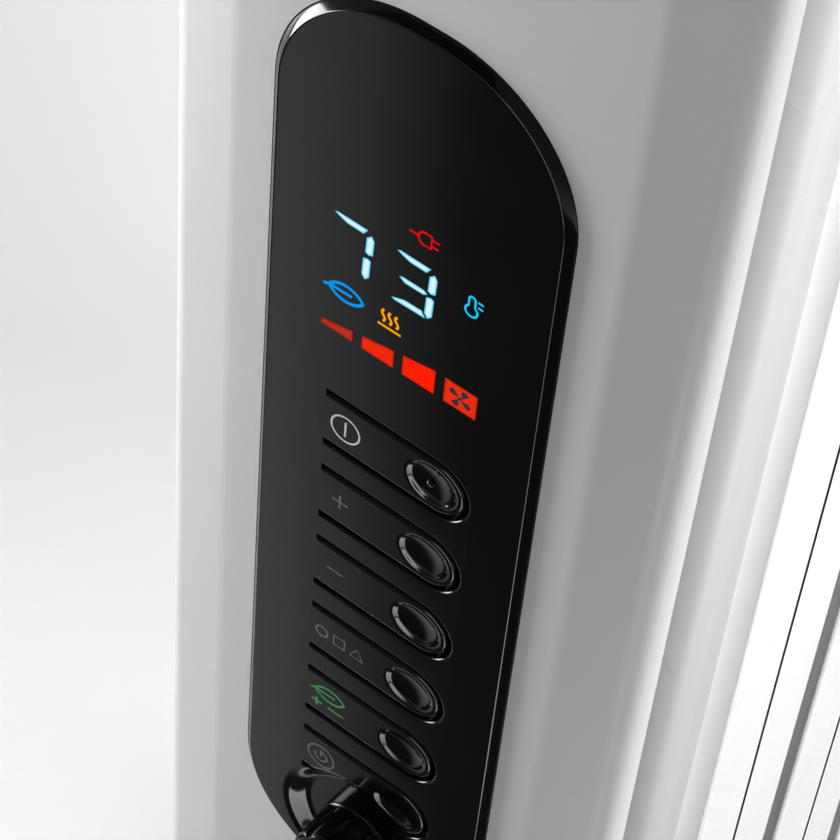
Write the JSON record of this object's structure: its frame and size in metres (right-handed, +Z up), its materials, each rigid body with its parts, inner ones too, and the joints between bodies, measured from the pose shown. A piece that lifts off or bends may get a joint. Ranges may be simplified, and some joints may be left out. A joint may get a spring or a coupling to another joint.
{
  "type": "oil filled radiator heater",
  "caption": "Portable oil filled radiator with closed-side fins, a white control column, a glossy black console with display and press tongues, a handle and twin-wheel castors.",
  "frame": {"origin": "on the floor under the middle of the object's box", "axes": "+Z up, -Y the way the console faces, +X to the right of someone who faces the console; the fins stack along Y"},
  "size_m": [0.23, 0.363, 0.662],
  "materials": {
    "housing_white": "satin white moulded ABS",
    "handle_white": "satin white moulded plastic",
    "fin_enamel": "smooth white baked enamel",
    "console_black": "piano black, polished",
    "hub_black": "black moulded plastic",
    "screw_steel": "black zinc plated",
    "plated_steel": "zinc plated",
    "bracket_enamel": "white baked enamel",
    "castor_grey": "moulded nylon",
    "wheel_grey": "moulded nylon with a hard tread",
    "board_green": "solder mask",
    "display_white": "white light box",
    "switch_black": "moulded",
    "relay_blue": "moulded",
    "transformer_core": "varnished laminations",
    "terminal_ivory": "moulded",
    "cutout_metal": "pressed cup",
    "element_steel": "drawn tube",
    "gasket_fibre": "pressed fibre"
  },
  "bodies": {
    "heater": {"control_housing": "housing_white", "housing_back": "housing_white", "housing_screws": "screw_steel", "console_panel": "console_black", "display_module": "display_white", "control_board": "board_green", "board_screws": "screw_steel", "tact_switches": "switch_black", "power_board": "board_green", "relays": "relay_blue", "transformer": "transformer_core", "terminal_block": "terminal_ivory", "cord_hub": "hub_black", "hub_screw": "screw_steel", "cord_gland": "hub_black", "room_sensor": "switch_black", "tilt_switch": "switch_black", "thermal_cutout": "cutout_metal", "handle": "handle_white", "handle_screws": "screw_steel", "fin_1": "fin_enamel", "fin_2": "fin_enamel", "fin_3": "fin_enamel", "fin_4": "fin_enamel", "fin_5": "fin_enamel", "fin_6": "fin_enamel", "collector_caps": "fin_enamel", "filler_plug": "plated_steel", "element_upper": "element_steel", "element_lower": "element_steel", "element_flange": "plated_steel", "flange_gasket": "gasket_fibre", "flange_bolts": "screw_steel", "bracket_front": "bracket_enamel", "bracket_rear": "bracket_enamel", "u_bolts": "plated_steel", "wing_nuts": "plated_steel"},
    "key_power": {"button_power": "console_black"},
    "key_plus": {"button_plus": "console_black"},
    "key_minus": {"button_minus": "console_black"},
    "key_mode": {"button_mode": "console_black"},
    "key_eco": {"button_eco": "console_black"},
    "key_timer": {"button_timer": "console_black"},
    "castor_fl": {"castor_fork_fl": "castor_grey"},
    "wheels_fl": {"castor_wheels_fl": "wheel_grey", "castor_axle_fl": "plated_steel"},
    "castor_fr": {"castor_fork_fr": "castor_grey"},
    "wheels_fr": {"castor_wheels_fr": "wheel_grey", "castor_axle_fr": "plated_steel"},
    "castor_rl": {"castor_fork_rl": "castor_grey"},
    "wheels_rl": {"castor_wheels_rl": "wheel_grey", "castor_axle_rl": "plated_steel"},
    "castor_rr": {"castor_fork_rr": "castor_grey"},
    "wheels_rr": {"castor_wheels_rr": "wheel_grey", "castor_axle_rr": "plated_steel"}
  },
  "joints": [
    {"name": "press_power", "type": "hinge", "parent": "heater", "child": "key_power", "pos_m": [-0.0184, -0.1682, 0.399], "axis": [0, 0, 1], "range_deg": [0, 1.4], "stiffness_Nm_per_rad": 1},
    {"name": "press_plus", "type": "hinge", "parent": "heater", "child": "key_plus", "pos_m": [-0.0184, -0.1682, 0.3729], "axis": [0, 0, 1], "range_deg": [0, 1.4], "stiffness_Nm_per_rad": 1},
    {"name": "press_minus", "type": "hinge", "parent": "heater", "child": "key_minus", "pos_m": [-0.0184, -0.1682, 0.3468], "axis": [0, 0, 1], "range_deg": [0, 1.4], "stiffness_Nm_per_rad": 1},
    {"name": "press_mode", "type": "hinge", "parent": "heater", "child": "key_mode", "pos_m": [-0.0184, -0.1682, 0.3207], "axis": [0, 0, 1], "range_deg": [0, 1.4], "stiffness_Nm_per_rad": 1},
    {"name": "press_eco", "type": "hinge", "parent": "heater", "child": "key_eco", "pos_m": [-0.0184, -0.1682, 0.2946], "axis": [0, 0, 1], "range_deg": [0, 1.4], "stiffness_Nm_per_rad": 1},
    {"name": "press_timer", "type": "hinge", "parent": "heater", "child": "key_timer", "pos_m": [-0.0184, -0.1682, 0.2685], "axis": [0, 0, 1], "range_deg": [0, 1.4], "stiffness_Nm_per_rad": 1},
    {"name": "swivel_fl", "type": "hinge", "parent": "heater", "child": "castor_fl", "pos_m": [-0.098, -0.0785, 0.06], "axis": [0, 0, 1], "continuous": true},
    {"name": "roll_fl", "type": "hinge", "parent": "castor_fl", "child": "wheels_fl", "pos_m": [-0.098, -0.0645, 0.022], "axis": [1, 0, 0], "continuous": true},
    {"name": "swivel_fr", "type": "hinge", "parent": "heater", "child": "castor_fr", "pos_m": [0.098, -0.0785, 0.06], "axis": [0, 0, 1], "continuous": true},
    {"name": "roll_fr", "type": "hinge", "parent": "castor_fr", "child": "wheels_fr", "pos_m": [0.098, -0.0645, 0.022], "axis": [1, 0, 0], "continuous": true},
    {"name": "swivel_rl", "type": "hinge", "parent": "heater", "child": "castor_rl", "pos_m": [-0.098, 0.1295, 0.06], "axis": [0, 0, 1], "continuous": true},
    {"name": "roll_rl", "type": "hinge", "parent": "castor_rl", "child": "wheels_rl", "pos_m": [-0.098, 0.1435, 0.022], "axis": [1, 0, 0], "continuous": true},
    {"name": "swivel_rr", "type": "hinge", "parent": "heater", "child": "castor_rr", "pos_m": [0.098, 0.1295, 0.06], "axis": [0, 0, 1], "continuous": true},
    {"name": "roll_rr", "type": "hinge", "parent": "castor_rr", "child": "wheels_rr", "pos_m": [0.098, 0.1435, 0.022], "axis": [1, 0, 0], "continuous": true}
  ]
}
